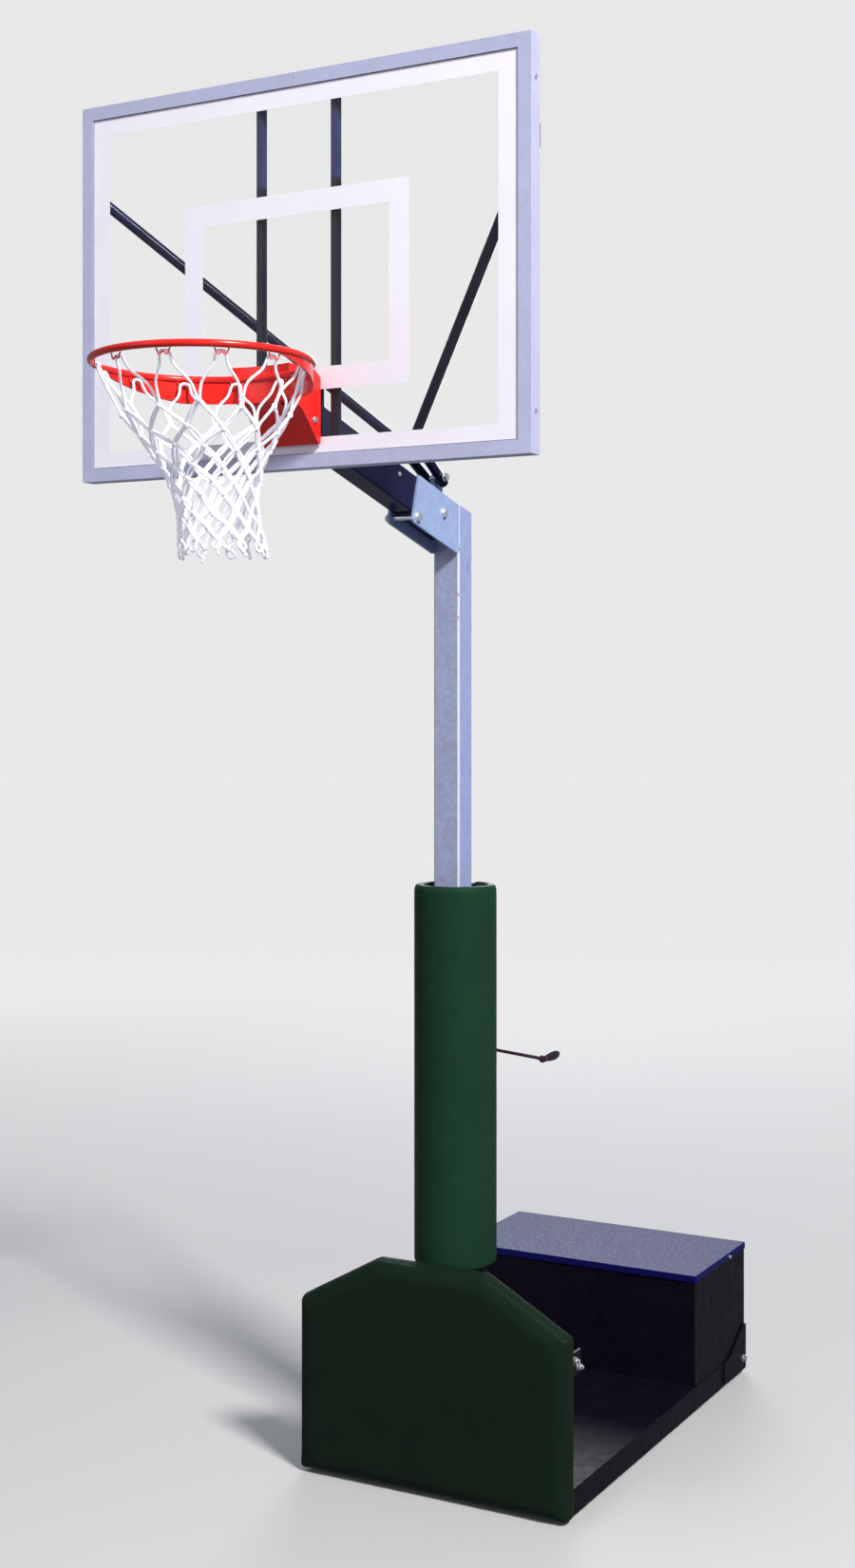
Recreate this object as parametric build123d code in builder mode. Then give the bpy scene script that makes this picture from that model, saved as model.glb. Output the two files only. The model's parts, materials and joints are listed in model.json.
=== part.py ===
from build123d import *
from math import cos, radians, sin, tan
import os

# Portable basketball hoop, in millimetres.
# X runs across the backboard, -Y is the playing side, +Y the ballast side, +Z is up.
# The origin is on the floor, under the centre line of the telescoping mast.

os.makedirs("parts", exist_ok=True)

inch = 25.4

# Backboard and its channel frame
board_width = 48 * inch
board_height = 36 * inch
board_bottom = 2606.0
board_reach = 791.0
frame_lip = 1.25 * inch
frame_depth = 1.75 * inch
frame_wall = 3.0
splice_gap = 1.0
gasket_thickness = 1.0
panel_thickness = 9.5
panel_play = 2.0
upright_size = 0.75 * inch
upright_spacing = 8 * inch

# Rim and its bracket
rim_bore_radius = 9 * inch
rim_rod_radius = 5 / 16 * inch
rim_gap = 133.0
rim_height = 2797.0
rim_brace_height = 47.0
bracket_half_width = 76.0
bracket_plate = 5.0
bracket_bottom = 2658.0
bracket_top = 2826.0
bracket_depth = 80.0
rim_bolt_spacing = 4 * inch
net_loops = 12
net_drop = 400.0

# Boom, hinge plates and braces
boom_width = 2.5 * inch
boom_height = 95.0
boom_wall = 4.0
boom_slope = 15.0
hinge_plate = 0.25 * inch
rear_bolt_y = -124.0
rear_bolt_z = 2557.0
front_bolt_y = -264.0
front_bolt_z = 2535.5
mast_bolt_radius = 1 / 4 * inch
brace_radius = 0.5 * inch
brace_wall = 2.0

# Telescoping mast, post and lifting screw
mast_size = 3 * inch
mast_wall = 4.8
mast_corner = 6.0
mast_bottom = 780.0
mast_top = 2588.0
post_width = 4 * inch
post_depth = 5 * inch
post_wall = 4.8
post_corner = 8.0
post_top = 1570.0
slide_gap = 0.3
front_guide = 6.0
screw_radius = 9.5
screw_clearance = 0.05
screw_bottom = 96.0
crank_height = 1127.0

# Crank
crank_reach = 187.0
crank_droop = 5.0
crank_shaft_radius = 6.35

# Pads
pole_pad_radius = 104.0
pole_pad_bore = 82.5
pole_pad_bottom = 578.0
pole_pad_top = 1586.0
base_pad_half = 399.0
base_pad_top_half = 160.0
base_pad_bottom = 6.0
base_pad_shoulder = 469.0
base_pad_top = 601.0
base_pad_front = -143.0
base_pad_rear = -93.0
pad_board_thickness = 12.0

# Base
floor_gap = 12.0
deck_top = 78.5
deck_sheet = 4.0
base_half = 387.0
deck_rear = 1050.0
box_front = 775.0
box_rear = 1195.0
box_half = 385.0
box_top = 398.0
box_sheet = 3.0
well_inner = 328.0
well_front = 1108.0
well_top = 112.0
wheel_radius = 48.0
wheel_width = 32.0
wheel_y = 1172.0
wheel_x = 364.0
wheel_clearance = 2.0
axle_radius = 6.0
axle_clearance = 0.05

# Worked-out places
board_front = -board_reach
board_top = board_bottom + board_height
frame_rear = board_front + frame_depth
panel_front = board_front + frame_wall + gasket_thickness
panel_rear = panel_front + panel_thickness
rim_y = board_front - rim_gap - rim_bore_radius
rim_radius = rim_bore_radius + rim_rod_radius
mast_half = mast_size / 2
post_front = -mast_half - front_guide - slide_gap - post_wall
post_y = post_front + post_depth / 2
post_inner_rear = post_front + post_depth - post_wall
post_rear = post_front + post_depth
screw_y = (mast_half + post_inner_rear) / 2
boom_dir = Vector(0, -cos(radians(boom_slope)), sin(radians(boom_slope)))
boom_up = Vector(0, sin(radians(boom_slope)), cos(radians(boom_slope)))
boom_pivot = Vector(0, rear_bolt_y, rear_bolt_z)


def facing_front(y):
    """Plane at a given y: its x is the part's X, its y is the part's Z, and it extrudes to the front."""
    return Plane.XZ.offset(-y)


def across(x):
    """Plane at a given x: its x is the part's Y, its y is the part's Z, and it extrudes to +X."""
    return Plane.YZ.offset(x)


def block(x_range, y_range, z_range, mode=Mode.ADD):
    """A box between two limits on each axis, in the current part."""
    with BuildSketch(Plane.XY.offset(z_range[0])) as section:
        with Locations(((x_range[0] + x_range[1]) / 2, (y_range[0] + y_range[1]) / 2)):
            Rectangle(x_range[1] - x_range[0], y_range[1] - y_range[0])
    extrude(section.sketch, amount=z_range[1] - z_range[0], mode=mode)


def rod(plane, radius, length, mode=Mode.ADD):
    """A round bar or hole that starts on a plane and runs along its normal."""
    with BuildSketch(plane) as section:
        Circle(radius)
    extrude(section.sketch, amount=length, mode=mode)


def square_tube(plane, width, height, wall, corner, length):
    """A box section centred on a plane and running along its normal."""
    with BuildSketch(plane) as section:
        RectangleRounded(width, height, corner)
        inner_corner = max(corner - wall, 0.5)
        RectangleRounded(width - 2 * wall, height - 2 * wall, inner_corner, mode=Mode.SUBTRACT)
    extrude(section.sketch, amount=length)


def hex_bolt(plane, radius, grip, head, nut):
    """Head on the plane, shank back through the grip, and a nut on its far end. Normal points out."""
    washer = 0.3 * radius
    rod(plane, 1.9 * radius, washer)
    rod(plane, radius, -(grip + nut + radius))
    rod(plane.offset(-grip), 1.9 * radius, -washer)
    for seat, height in ((plane.offset(washer), head), (plane.offset(-grip - washer), -nut)):
        with BuildSketch(seat) as hexagon:
            RegularPolygon(1.75 * radius, 6)
        extrude(hexagon.sketch, amount=height)


def x_plane(x, y, z, outward=1):
    """Plane at a point whose normal points to +X, or to -X when outward is -1."""
    return Plane(origin=(x, y, z), x_dir=(0, outward, 0), z_dir=(outward, 0, 0))


def y_plane(x, y, z, outward=1):
    """Plane at a point whose normal points to +Y, or to -Y when outward is -1."""
    return Plane(origin=(x, y, z), x_dir=(-outward, 0, 0), z_dir=(0, outward, 0))


# ---------------------------------------------------------------- backboard frame

brace_tie_x = board_width / 2 - 15.5
brace_tie_z = 3305.0
brace_bolt_radius = 4.0
rear_lip_y = frame_rear - frame_wall


def frame_corners(inset):
    """The board's four corners in x and z, moved in by an inset, from bottom left round to top left."""
    half = board_width / 2 - inset
    low, high = board_bottom + inset, board_top - inset
    return [(-half, low), (half, low), (half, high), (-half, high)]


def channel(side):
    """One mitred channel of the frame, open towards the middle of the board."""
    after = (side + 1) % 4
    outer, hollow, lip = frame_corners(0), frame_corners(frame_wall), frame_corners(frame_lip)
    with BuildSketch(facing_front(board_front)) as face:
        Polygon(outer[side], outer[after], lip[after], lip[side], align=None)
    extrude(face.sketch, amount=-frame_depth)
    with BuildSketch(facing_front(board_front + frame_wall)) as hollow_face:
        Polygon(hollow[side], hollow[after], lip[after], lip[side], align=None)
    extrude(hollow_face.sketch, amount=-(frame_depth - 2 * frame_wall), mode=Mode.SUBTRACT)


with BuildPart() as frame_bottom:
    channel(0)
frame_bottom.part.label = "frame_bottom"
export_step(frame_bottom.part, "parts/frame_bottom.step")

with BuildPart() as frame_sides:
    channel(1)
    channel(3)
    for way in (-1, 1):
        rod(y_plane(way * brace_tie_x, rear_lip_y - 1, brace_tie_z), brace_bolt_radius, 8, Mode.SUBTRACT)
frame_sides.part.label = "frame_sides"
export_step(frame_sides.part, "parts/frame_sides.step")

for way, frame_name in ((1, "frame_top_right"), (-1, "frame_top_left")):
    with BuildPart() as frame_top:
        channel(2)
        cut_from, cut_to = sorted((-way * board_width, way * splice_gap / 2))
        through_depth = (board_front - 1, frame_rear + 1)
        block((cut_from, cut_to), through_depth, (board_top - 60, board_top + 1), Mode.SUBTRACT)
    frame_top.part.label = frame_name
    export_step(frame_top.part, f"parts/{frame_name}.step")

# Corner screws stand in the outer face of each side channel, and one more in the boom's cheek.
corner_screw_drop = 95.0
side_stud_y = -345.0
side_stud_z = 2637.0
stud_radius = 4.0
screw_planes = [
    x_plane(way * board_width / 2, board_front + frame_depth / 2, screw_z, way)
    for way in (-1, 1)
    for screw_z in (board_bottom + corner_screw_drop, board_top - corner_screw_drop)
]
with BuildPart() as frame_screws:
    for screw_plane in screw_planes + [x_plane(boom_width / 2, side_stud_y, side_stud_z)]:
        with BuildSketch(screw_plane):
            Circle(6)
        extrude(amount=2.5, taper=20)
    rod(x_plane(boom_width / 2, side_stud_y, side_stud_z), stud_radius, -boom_wall)
frame_screws.part.label = "frame_screws"
export_step(frame_screws.part, "parts/frame_screws.step")

with BuildPart() as panel_gasket:
    with BuildSketch(facing_front(board_front + frame_wall)):
        Polygon(*frame_corners(frame_lip - 16), align=None)
        Polygon(*frame_corners(frame_lip + 1.5), align=None, mode=Mode.SUBTRACT)
    extrude(amount=-gasket_thickness)
panel_gasket.part.label = "panel_gasket"
export_step(panel_gasket.part, "parts/panel_gasket.step")

rim_bolt_z = (bracket_bottom + bracket_top) / 2
rim_bolt_radius = 4.8
rim_bolt_places = [
    (way * rim_bolt_spacing / 2, rim_bolt_z + rise * rim_bolt_spacing / 2)
    for way in (-1, 1)
    for rise in (-1, 1)
]

with BuildPart() as backboard_panel:
    with BuildSketch(facing_front(panel_front)):
        Polygon(*frame_corners(frame_wall + panel_play), align=None)
        with Locations(*rim_bolt_places):
            Circle(rim_bolt_radius, mode=Mode.SUBTRACT)
    extrude(amount=-panel_thickness)
backboard_panel.part.label = "backboard_panel"
export_step(backboard_panel.part, "parts/backboard_panel.step")

# Rubber blocks behind the panel press it against the front lip.
block_length = 60.0
with BuildPart() as panel_blocks:
    for block_x in (-board_width / 4, board_width / 4):
        for low, high in ((board_bottom + 6, board_bottom + 24), (board_top - 24, board_top - 10)):
            ends = (block_x - block_length / 2, block_x + block_length / 2)
            block(ends, (panel_rear, rear_lip_y), (low, high))
    for way in (-1, 1):
        for block_z in (board_bottom + board_height / 3, board_bottom + board_height / 2):
            near, far = sorted((way * (board_width / 2 - 6), way * (board_width / 2 - 24)))
            block((near, far), (panel_rear, rear_lip_y), (block_z - 30, block_z + 30))
panel_blocks.part.label = "panel_blocks"
export_step(panel_blocks.part, "parts/panel_blocks.step")

# Two slim box sections stand behind the panel between the bottom and top channels.
upright_y = panel_rear + 2.5 + upright_size / 2
with BuildPart() as board_uprights:
    for way in (-1, 1):
        foot = Plane(origin=(way * upright_spacing / 2, upright_y, board_bottom + frame_wall))
        square_tube(foot, upright_size, upright_size, 1.8, 2.2, board_height - 2 * frame_wall)
board_uprights.part.label = "board_uprights"
export_step(board_uprights.part, "parts/board_uprights.step")


# ---------------------------------------------------------------- rim

with BuildPart() as rim_ring:
    with BuildSketch(across(0)):
        with Locations((rim_y + rim_radius, rim_height)):
            Circle(rim_rod_radius)
    revolve(axis=Axis((0, rim_y, 0), (0, 0, 1)))
rim_ring.part.label = "rim_ring"
export_step(rim_ring.part, "parts/rim_ring.step")

# A strip of flat bar wraps the back half of the ring from below and tapers away to the front.
brace_strip_wall = 4.8
strip_top = rim_height - rim_rod_radius
strip_tip_y = rim_y - 50
strip_full_y = rim_y + 165
with BuildPart() as rim_brace:
    with BuildSketch(Plane.XY.offset(strip_top - rim_brace_height)):
        with Locations((0, rim_y)):
            Circle(rim_radius + brace_strip_wall / 2)
            Circle(rim_radius - brace_strip_wall / 2, mode=Mode.SUBTRACT)
    extrude(amount=rim_brace_height)
    with BuildSketch(across(-300)):
        Polygon(
            (strip_tip_y, strip_top),
            (strip_full_y, strip_top - rim_brace_height),
            (strip_full_y + 120, strip_top - rim_brace_height),
            (strip_full_y + 120, strip_top),
            align=None,
        )
    extrude(amount=600, mode=Mode.INTERSECT)
rim_brace.part.label = "rim_brace"
export_step(rim_brace.part, "parts/rim_brace.step")

# The bracket is a box of bent plate: back plate, two cheeks, a top plate and a sloping face below.
strip_outer = rim_radius + brace_strip_wall / 2
face_low = (board_front - 8, bracket_bottom)
face_knee = (board_front - bracket_depth, bracket_bottom + 72)
face_high = (board_front - 112, strip_top - rim_brace_height + 2)
cheek_outline = [
    (board_front, bracket_bottom),
    face_low,
    face_knee,
    face_high,
    (rim_y + 190, strip_top - rim_brace_height + 4),
    (rim_y + 190, bracket_top - 2),
    (board_front - 30, bracket_top),
    (board_front, bracket_top - 16),
]
side_bolt_y = board_front - 26
side_bolt_z = bracket_bottom + 52


def clear_ring():
    """Take away the room of the ring, its brace and everything inside them."""
    rod(Plane(origin=(0, rim_y, bracket_bottom)), strip_outer, bracket_top, Mode.SUBTRACT)
    with BuildSketch(across(0)) as rod_section:
        with Locations((rim_y + rim_radius, rim_height)):
            Circle(rim_rod_radius)
    revolve(rod_section.sketch, axis=Axis((0, rim_y, 0), (0, 0, 1)), mode=Mode.SUBTRACT)


inner_half = bracket_half_width - bracket_plate
with BuildPart() as rim_bracket:
    with BuildSketch(across(-bracket_half_width)):
        Polygon(*cheek_outline, align=None)
    extrude(amount=2 * bracket_half_width)
    # the hollow of the box, open below the knee line only through the wall thickness
    with BuildSketch(across(-inner_half)):
        Polygon(
            (board_front - bracket_plate, bracket_bottom + 12),
            (face_knee[0] + 6, face_knee[1] + 3),
            (face_high[0], face_high[1] + bracket_plate),
            (face_high[0], bracket_top - 9),
            (board_front - 30, bracket_top - 7),
            (board_front - bracket_plate, bracket_top - 22),
            align=None,
        )
    extrude(amount=2 * inner_half, mode=Mode.SUBTRACT)
    clear_ring()
    for bolt_x, bolt_z in rim_bolt_places:
        rod(y_plane(bolt_x, board_front - bracket_plate - 1, bolt_z), rim_bolt_radius, 8, Mode.SUBTRACT)
    for way in (-1, 1):
        rod(x_plane(way * (inner_half - 1), side_bolt_y, side_bolt_z, way), 4, 8, Mode.SUBTRACT)
    # a drain hole in the sloping face
    rod(y_plane(38, face_knee[0] - 40, face_knee[1] + 10), 4, 60, Mode.SUBTRACT)
rim_bracket.part.label = "rim_bracket"
export_step(rim_bracket.part, "parts/rim_bracket.step")

# Bent wire hooks under the ring, each with two valleys for the legs of one loop of the net.
clip_wire = 1.8
clip_half = 15.0
clip_valley = 9.0
clip_drop = 15.0
clip_shape = [
    (-clip_half, 0), (-clip_valley, -clip_drop), (0, -6), (clip_valley, -clip_drop), (clip_half, 0),
]
with BuildPart() as net_clips:
    for turn in range(net_loops):
        bearing = (turn + 0.5) * 360 / net_loops
        out = Vector(sin(radians(bearing)), cos(radians(bearing)), 0)
        side = Vector(out.Y, -out.X, 0)
        middle = Vector(0, rim_y, rim_height - rim_rod_radius) + out * (rim_radius - 3 * clip_wire)
        with BuildLine() as clip_path:
            places = [middle + side * along + Vector(0, 0, rise) for along, rise in clip_shape]
            FilletPolyline(*places, radius=3)
        with BuildSketch(Plane(origin=clip_path.line @ 0, z_dir=clip_path.line % 0)):
            Circle(clip_wire)
        sweep(path=clip_path.line)
net_clips.part.label = "net_clips"
export_step(net_clips.part, "parts/net_clips.step")

# The net hangs as a funnel from the hooks.
net_top = rim_height - rim_rod_radius - clip_drop - 3
net_wall = 4.0
net_profile = [
    (221, net_top), (168, net_top - 105), (120, net_top - 185), (94, net_top - 265), (88, net_top - 330),
]
net_profile.append((93, net_top - net_drop))
with BuildPart() as net:
    with BuildSketch(across(0)):
        with BuildLine():
            outer = Spline(*[(rim_y + r, z) for r, z in net_profile])
            inner = Spline(*[(rim_y + r - net_wall, z) for r, z in net_profile])
            Line(outer @ 0, inner @ 0)
            Line(outer @ 1, inner @ 1)
        make_face()
    revolve(axis=Axis((0, rim_y, 0), (0, 0, 1)))
net.part.label = "net"
export_step(net.part, "parts/net.step")


# ---------------------------------------------------------------- boom and braces

end_plate_thickness = 8.0
boom_end_y = panel_rear + end_plate_thickness
boom_tail = 70.0
with BuildPart() as boom_end_plate:
    with BuildSketch(facing_front(panel_rear)):
        with Locations((0, rim_bolt_z)):
            RectangleRounded(2 * bracket_half_width - 8, bracket_top - bracket_bottom - 8, 6)
        with Locations(*rim_bolt_places):
            Circle(rim_bolt_radius, mode=Mode.SUBTRACT)
    extrude(amount=-end_plate_thickness)
boom_end_plate.part.label = "boom_end_plate"
export_step(boom_end_plate.part, "parts/boom_end_plate.step")

boom_start = boom_pivot - boom_dir * boom_tail
brace_bolt_y = -112.0
brace_bolt_rise = 49.0
brace_bolt_z = rear_bolt_z + (rear_bolt_y - brace_bolt_y) * tan(radians(boom_slope))
brace_bolt_z += boom_height / 2 / cos(radians(boom_slope)) + brace_bolt_rise

with BuildPart() as boom:
    root = Plane(origin=boom_start, x_dir=(1, 0, 0), z_dir=boom_dir)
    square_tube(root, boom_width, boom_height, boom_wall, 6, 800)
    split(bisect_by=Plane(origin=(0, boom_end_y, 0), z_dir=(0, 1, 0)), keep=Keep.TOP)
    rod(x_plane(-60, rear_bolt_y, rear_bolt_z), mast_bolt_radius + 0.1, 120, Mode.SUBTRACT)
    rod(x_plane(20, side_stud_y, side_stud_z), stud_radius, 20, Mode.SUBTRACT)
boom.part.label = "boom"
export_step(boom.part, "parts/boom.step")

lug_base = boom_up * (boom_height / 2) + boom_pivot - boom_dir * 12
with BuildPart() as brace_lug:
    with BuildSketch(Plane(origin=lug_base - Vector(5, 0, 0), x_dir=-boom_dir, z_dir=(1, 0, 0))):
        with Locations((0, 32)):
            RectangleRounded(52, 63.9, 12)
    extrude(amount=10)
    split(bisect_by=Plane(origin=lug_base, z_dir=boom_up), keep=Keep.TOP)
    rod(x_plane(-10, brace_bolt_y, brace_bolt_z), 6.1, 20, Mode.SUBTRACT)
brace_lug.part.label = "brace_lug"
export_step(brace_lug.part, "parts/brace_lug.step")

# Round braces run from the sides of the frame down to the lug on the boom, and bend above it.
ear_half = 16.0
ear_thickness = 6.0
for way, brace_name in ((-1, "brace_left"), (1, "brace_right")):
    top_end = Vector(way * 583, frame_rear + ear_thickness + 7, 3298)
    bend = Vector(way * 27, -262, 2735)
    low_end = Vector(way * 18.5, brace_bolt_y + 26, brace_bolt_z - 13)
    with BuildPart() as brace:
        with BuildLine() as brace_path:
            FilletPolyline(top_end, bend, low_end, radius=90)
        with BuildSketch(Plane(origin=brace_path.line @ 0, z_dir=brace_path.line % 0)):
            Circle(brace_radius)
            Circle(brace_radius - brace_wall, mode=Mode.SUBTRACT)
        sweep(path=brace_path.line)
        with BuildSketch(facing_front(frame_rear)):
            with Locations((way * brace_tie_x, brace_tie_z)):
                RectangleRounded(2 * ear_half - 4, 62, 8)
            with Locations((way * brace_tie_x, brace_tie_z)):
                Circle(brace_bolt_radius, mode=Mode.SUBTRACT)
        extrude(amount=-ear_thickness)
        rod(y_plane(way * brace_tie_x, frame_rear + ear_thickness, brace_tie_z), 8.5, 40, Mode.SUBTRACT)
        rod(x_plane(0, brace_bolt_y, brace_bolt_z, way), 6.1, 60, Mode.SUBTRACT)
        split(bisect_by=Plane(origin=(0, frame_rear, 0), z_dir=(0, 1, 0)), keep=Keep.TOP)
    brace.part.label = brace_name
    export_step(brace.part, f"parts/{brace_name}.step")

with BuildPart() as brace_bolts:
    hex_bolt(x_plane(34, brace_bolt_y, brace_bolt_z), 6, 68, 8, 10)
    for way in (-1, 1):
        head = y_plane(way * brace_tie_x, frame_rear + ear_thickness, brace_tie_z)
        hex_bolt(head, brace_bolt_radius, ear_thickness + frame_wall, 5, 6)
brace_bolts.part.label = "brace_bolts"
export_step(brace_bolts.part, "parts/brace_bolts.step")

with BuildPart() as rim_bolts:
    for bolt_x, bolt_z in rim_bolt_places:
        head = y_plane(bolt_x, board_front - bracket_plate, bolt_z, -1)
        grip = bracket_plate + panel_rear + end_plate_thickness - board_front
        hex_bolt(head, rim_bolt_radius, grip, 6, 8)
    for way in (-1, 1):
        hex_bolt(x_plane(way * bracket_half_width, side_bolt_y, side_bolt_z, way), 4, bracket_plate, 4, 6)
rim_bolts.part.label = "rim_bolts"
export_step(rim_bolts.part, "parts/rim_bolts.step")


# ---------------------------------------------------------------- mast head and inner mast

plate_rise = tan(radians(boom_slope))
plate_low = 2456.0
plate_high = mast_top - 3
plate_front_low = (-289, plate_low + (289 - mast_half) * plate_rise)
plate_front_high = (-253, plate_high + (253 - mast_half) * plate_rise)
with BuildPart() as hinge_plates:
    for inner_face in (-mast_half, mast_half - hinge_plate):
        with BuildSketch(across(inner_face)) as outline:
            Polygon(
                (-mast_half, plate_low),
                plate_front_low,
                plate_front_high,
                (-mast_half, plate_high),
                align=None,
            )
            fillet(outline.vertices().sort_by(Axis.Y)[:2], radius=11)
        extrude(amount=hinge_plate)
    for bolt_y, bolt_z in ((rear_bolt_y, rear_bolt_z), (front_bolt_y, front_bolt_z)):
        rod(x_plane(-60, bolt_y, bolt_z), mast_bolt_radius, 120, Mode.SUBTRACT)
hinge_plates.part.label = "hinge_plates"
export_step(hinge_plates.part, "parts/hinge_plates.step")

with BuildPart() as mast_bolts:
    for bolt_y, bolt_z in ((rear_bolt_y, rear_bolt_z), (front_bolt_y, front_bolt_z)):
        hex_bolt(x_plane(mast_half, bolt_y, bolt_z), mast_bolt_radius, mast_size, 7, 9.5)
mast_bolts.part.label = "mast_bolts"
export_step(mast_bolts.part, "parts/mast_bolts.step")

with BuildPart() as inner_mast:
    mast_foot = Plane.XY.offset(mast_bottom)
    square_tube(mast_foot, mast_size, mast_size, mast_wall, mast_corner, mast_top - mast_bottom)
    uphill = (0, sin(radians(boom_slope)), cos(radians(boom_slope)))
    top_cut = Plane(origin=(0, -mast_half, mast_top), z_dir=uphill)
    split(bisect_by=top_cut, keep=Keep.BOTTOM)
inner_mast.part.label = "inner_mast"
export_step(inner_mast.part, "parts/inner_mast.step")

# Low-friction pads on the foot of the mast slide on the post's inner walls.
pad_high = mast_bottom + 80
side_pad = (post_width / 2 - post_wall) - mast_half - slide_gap
with BuildPart() as mast_slide_pads:
    for way in (-1, 1):
        near, far = sorted((way * mast_half, way * (mast_half + side_pad)))
        block((near, far), (-28, 28), (mast_bottom, pad_high))
    block((-28, 28), (-mast_half - front_guide, -mast_half), (mast_bottom, pad_high))
mast_slide_pads.part.label = "mast_slide_pads"
export_step(mast_slide_pads.part, "parts/mast_slide_pads.step")

nut_low = mast_bottom + 5
nut_high = nut_low + 38
nut_half = 15.0
with BuildPart() as nut_carrier:
    block((-24, 24), (mast_half, post_inner_rear - 1.5), (nut_low, nut_high))
    rod(Plane(origin=(0, screw_y, nut_low - 1)), nut_half, 60, Mode.SUBTRACT)
nut_carrier.part.label = "nut_carrier"
export_step(nut_carrier.part, "parts/nut_carrier.step")

with BuildPart() as lift_nut:
    rod(Plane(origin=(0, screw_y, nut_low)), nut_half, nut_high - nut_low)
    rod(Plane(origin=(0, screw_y, nut_low - 1)), screw_radius + screw_clearance, 60, Mode.SUBTRACT)
lift_nut.part.label = "lift_nut"
export_step(lift_nut.part, "parts/lift_nut.step")


# ---------------------------------------------------------------- post, screw, gears

window_half = 24.0
window_low = crank_height - 40
window_high = crank_height + 34
post_bottom = deck_top + 12
with BuildPart() as outer_post:
    length = post_top - post_bottom
    post_plane = Plane(origin=(0, post_y, post_bottom))
    square_tube(post_plane, post_width, post_depth, post_wall, post_corner, length)
    window = (window_low, window_high)
    block((-window_half, window_half), (post_inner_rear - 1, post_rear + 1), window, Mode.SUBTRACT)
outer_post.part.label = "outer_post"
export_step(outer_post.part, "parts/outer_post.step")

foot_hole_x = 78.0
foot_hole_y = 60.0
foot_bolt_radius = 6.35
foot_places = [(way * foot_hole_x, post_y + rise * foot_hole_y) for way in (-1, 1) for rise in (-1, 1)]
with BuildPart() as post_foot:
    with BuildSketch(Plane.XY.offset(deck_top)):
        with Locations((0, post_y)):
            RectangleRounded(200, 160, 8)
        with Locations(*foot_places):
            Circle(foot_bolt_radius, mode=Mode.SUBTRACT)
        with Locations((0, screw_y)):
            Circle(7, mode=Mode.SUBTRACT)
    extrude(amount=12)
post_foot.part.label = "post_foot"
export_step(post_foot.part, "parts/post_foot.step")

with BuildPart() as post_foot_bolts:
    for bolt_x, bolt_y in foot_places:
        hex_bolt(Plane(origin=(bolt_x, bolt_y, deck_top + 12)), foot_bolt_radius, 12 + deck_sheet, 8, 8)
post_foot_bolts.part.label = "post_foot_bolts"
export_step(post_foot_bolts.part, "parts/post_foot_bolts.step")

# A nylon collar in the mouth of the post guides the mast.
collar_low = post_top - 60
with BuildPart() as guide_collar:
    with BuildSketch(Plane.XY.offset(collar_low)):
        with Locations((0, post_y)):
            RectangleRounded(post_width - 2 * post_wall, post_depth - 2 * post_wall, post_corner - post_wall)
        clear_size = mast_size + 2 * slide_gap
        RectangleRounded(clear_size, clear_size, mast_corner, mode=Mode.SUBTRACT)
    extrude(amount=post_top - collar_low)
guide_collar.part.label = "guide_collar"
export_step(guide_collar.part, "parts/guide_collar.step")

# Equal bevel gears turn the crank's motion into the screw's.
gear_teeth = 16
gear_pitch = 15.0
gear_toe = 9.5
root_ratio = 0.885
tip_ratio = 1.075
hanger_top = crank_height - gear_pitch - 6 - 0.3
hanger_sheet = 8.0


def gear_outline(scale, turn):
    """Section of the gear square to its axis. All its sections are the same shape, scaled from the apex."""
    points = []
    for tooth in range(gear_teeth):
        middle = (tooth + turn) * 360 / gear_teeth
        steps = ((-6.4, root_ratio), (-2.5, tip_ratio), (2.5, tip_ratio), (6.4, root_ratio))
        for angle, ratio in steps:
            turned = radians(middle + angle)
            points.append((scale * ratio * cos(turned), scale * ratio * sin(turned)))
    return points


def bevel_body(apex, turn, hub_radius, hub_length):
    """A mitre gear whose plane has its origin at the apex and its normal towards the gear's back."""
    with BuildSketch(apex.offset(gear_toe)) as toe:
        Polygon(*gear_outline(gear_toe, turn), align=None)
    with BuildSketch(apex.offset(gear_pitch)) as heel:
        Polygon(*gear_outline(gear_pitch, turn), align=None)
    loft(sections=[toe.sketch, heel.sketch], ruled=True)
    rod(apex.offset(gear_pitch), hub_radius, hub_length)


screw_apex = Plane(origin=(0, screw_y, crank_height), x_dir=(0, 1, 0), z_dir=(0, 0, -1))
crank_apex = Plane(origin=(0, screw_y, crank_height), x_dir=(0, 0, -1), z_dir=(0, 1, 0))
journal_radius = 6.0
with BuildPart() as bevel_gear:
    bevel_body(screw_apex, 0, 12, 6)
    rod(screw_apex.offset(gear_toe - 1), journal_radius, 40, Mode.SUBTRACT)
bevel_gear.part.label = "bevel_gear"
export_step(bevel_gear.part, "parts/bevel_gear.step")

with BuildPart() as bevel_pinion:
    bevel_body(crank_apex, 0.5, 10.5, 8)
    rod(crank_apex.offset(gear_toe - 1), crank_shaft_radius, 40, Mode.SUBTRACT)
bevel_pinion.part.label = "bevel_pinion"
export_step(bevel_pinion.part, "parts/bevel_pinion.step")

with BuildPart() as lead_screw:
    thread_length = hanger_top - hanger_sheet - 2 - screw_bottom
    rod(Plane(origin=(0, screw_y, screw_bottom)), screw_radius, thread_length)
    core_length = crank_height - gear_toe - screw_bottom + 12
    rod(Plane(origin=(0, screw_y, screw_bottom - 12)), journal_radius, core_length)
lead_screw.part.label = "lead_screw"
export_step(lead_screw.part, "parts/lead_screw.step")

with BuildPart() as screw_hanger:
    block((-20, 20), (mast_half + 0.9, post_inner_rear), (hanger_top - hanger_sheet, hanger_top))
    block((-20, 20), (post_inner_rear - 5, post_inner_rear), (hanger_top - 34, hanger_top - hanger_sheet))
    rod(Plane(origin=(0, screw_y, hanger_top - 20)), journal_radius + screw_clearance, 30, Mode.SUBTRACT)
screw_hanger.part.label = "screw_hanger"
export_step(screw_hanger.part, "parts/screw_hanger.step")

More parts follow.
